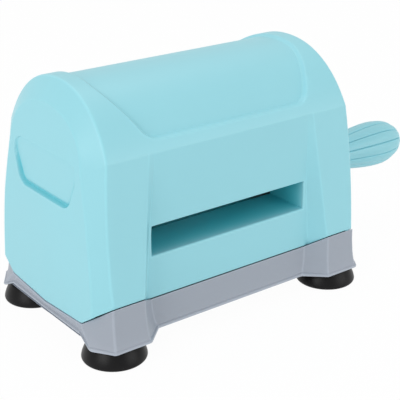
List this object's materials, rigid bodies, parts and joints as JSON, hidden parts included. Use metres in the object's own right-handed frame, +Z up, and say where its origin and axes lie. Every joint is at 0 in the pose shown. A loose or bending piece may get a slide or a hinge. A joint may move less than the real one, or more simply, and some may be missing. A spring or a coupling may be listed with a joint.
{
  "type": "hand cranked die cutting machine",
  "caption": "Small hand-cranked die cutter: domed housing with a feed slot between two geared rollers, base on suction cups, side crank with a fluted grip.",
  "frame": {"origin": "on the table, under the middle of the housing, between the four suction cups", "axes": "+Z up from the table, -Y out of the front feed slot, +X along the roller shafts towards the crank"},
  "size_m": [0.2182, 0.0926, 0.1089],
  "materials": {
    "housing_shell": "satin",
    "crank_arm": "satin",
    "grip": "satin",
    "base_tray": "satin",
    "upper_gear": "satin",
    "lower_gear": "satin",
    "crank_pinion": "satin",
    "suction_cup_front_left": "smooth black",
    "suction_cup_rear_left": "smooth black",
    "suction_cup_front_right": "smooth black",
    "suction_cup_rear_right": "smooth black",
    "upper_bush_left": "sintered bronze",
    "upper_bush_right": "sintered bronze",
    "lower_bush_left": "sintered bronze",
    "lower_bush_right": "sintered bronze",
    "crank_bush_inner": "sintered bronze",
    "crank_bush_outer": "sintered bronze",
    "upper_roller": "ground",
    "lower_roller": "ground",
    "crank_shaft": "ground",
    "grip_pin": "ground",
    "side_plate_left": "zinc plated",
    "side_plate_right": "zinc plated",
    "crank_screw": "zinc plated",
    "tie_bar_front": "zinc plated",
    "tie_bar_rear": "zinc plated",
    "tie_bar_top": "zinc plated",
    "housing_screw_front_left": "zinc plated",
    "housing_screw_rear_left": "zinc plated",
    "housing_screw_front_right": "zinc plated",
    "housing_screw_rear_right": "zinc plated",
    "frame_screw_front_left": "zinc plated",
    "frame_screw_rear_left": "zinc plated",
    "frame_screw_front_right": "zinc plated",
    "frame_screw_rear_right": "zinc plated",
    "cup_stud_front_left": "zinc plated",
    "cup_stud_rear_left": "zinc plated",
    "cup_stud_front_right": "zinc plated",
    "cup_stud_rear_right": "zinc plated",
    "cup_nut_front_left": "zinc plated",
    "cup_nut_rear_left": "zinc plated",
    "cup_nut_front_right": "zinc plated",
    "cup_nut_rear_right": "zinc plated",
    "upper_clip_left": "zinc plated",
    "upper_clip_right": "zinc plated",
    "lower_clip_left": "zinc plated",
    "lower_clip_right": "zinc plated"
  },
  "bodies": {
    "housing": {"housing_shell": "housing_shell", "base_tray": "base_tray", "side_plate_left": "side_plate_left", "side_plate_right": "side_plate_right", "upper_bush_left": "upper_bush_left", "upper_bush_right": "upper_bush_right", "lower_bush_left": "lower_bush_left", "lower_bush_right": "lower_bush_right", "crank_bush_inner": "crank_bush_inner", "crank_bush_outer": "crank_bush_outer", "tie_bar_front": "tie_bar_front", "tie_bar_rear": "tie_bar_rear", "tie_bar_top": "tie_bar_top", "housing_screw_front_left": "housing_screw_front_left", "housing_screw_rear_left": "housing_screw_rear_left", "housing_screw_front_right": "housing_screw_front_right", "housing_screw_rear_right": "housing_screw_rear_right", "frame_screw_front_left": "frame_screw_front_left", "frame_screw_rear_left": "frame_screw_rear_left", "frame_screw_front_right": "frame_screw_front_right", "frame_screw_rear_right": "frame_screw_rear_right", "suction_cup_front_left": "suction_cup_front_left", "suction_cup_rear_left": "suction_cup_rear_left", "suction_cup_front_right": "suction_cup_front_right", "suction_cup_rear_right": "suction_cup_rear_right", "cup_stud_front_left": "cup_stud_front_left", "cup_stud_rear_left": "cup_stud_rear_left", "cup_stud_front_right": "cup_stud_front_right", "cup_stud_rear_right": "cup_stud_rear_right", "cup_nut_front_left": "cup_nut_front_left", "cup_nut_rear_left": "cup_nut_rear_left", "cup_nut_front_right": "cup_nut_front_right", "cup_nut_rear_right": "cup_nut_rear_right"},
    "crank": {"crank_shaft": "crank_shaft", "crank_pinion": "crank_pinion", "crank_arm": "crank_arm", "crank_screw": "crank_screw", "grip_pin": "grip_pin"},
    "grip": {"grip": "grip"},
    "upper_roller": {"upper_roller": "upper_roller", "upper_gear": "upper_gear", "upper_clip_left": "upper_clip_left", "upper_clip_right": "upper_clip_right"},
    "lower_roller": {"lower_roller": "lower_roller", "lower_gear": "lower_gear", "lower_clip_left": "lower_clip_left", "lower_clip_right": "lower_clip_right"}
  },
  "joints": [
    {"name": "crank_turn", "type": "hinge", "parent": "housing", "child": "crank", "pos_m": [0.0766, 0.008, 0.08357], "axis": [1, 0, 0], "continuous": true},
    {"name": "grip_turn", "type": "hinge", "parent": "crank", "child": "grip", "pos_m": [0.115, 0.008, 0.03967], "axis": [1, 0, 0], "continuous": true},
    {"name": "upper_roller_turn", "type": "hinge", "parent": "housing", "child": "upper_roller", "pos_m": [0, 0, 0.06187], "axis": [1, 0, 0], "continuous": true},
    {"name": "lower_roller_turn", "type": "hinge", "parent": "housing", "child": "lower_roller", "pos_m": [0, 0, 0.03062], "axis": [1, 0, 0], "continuous": true}
  ],
  "couplings": [
    {"joint": "lower_roller_turn", "follows": "upper_roller_turn", "ratio": -1},
    {"joint": "crank_turn", "follows": "upper_roller_turn", "ratio": -2.0833}
  ]
}
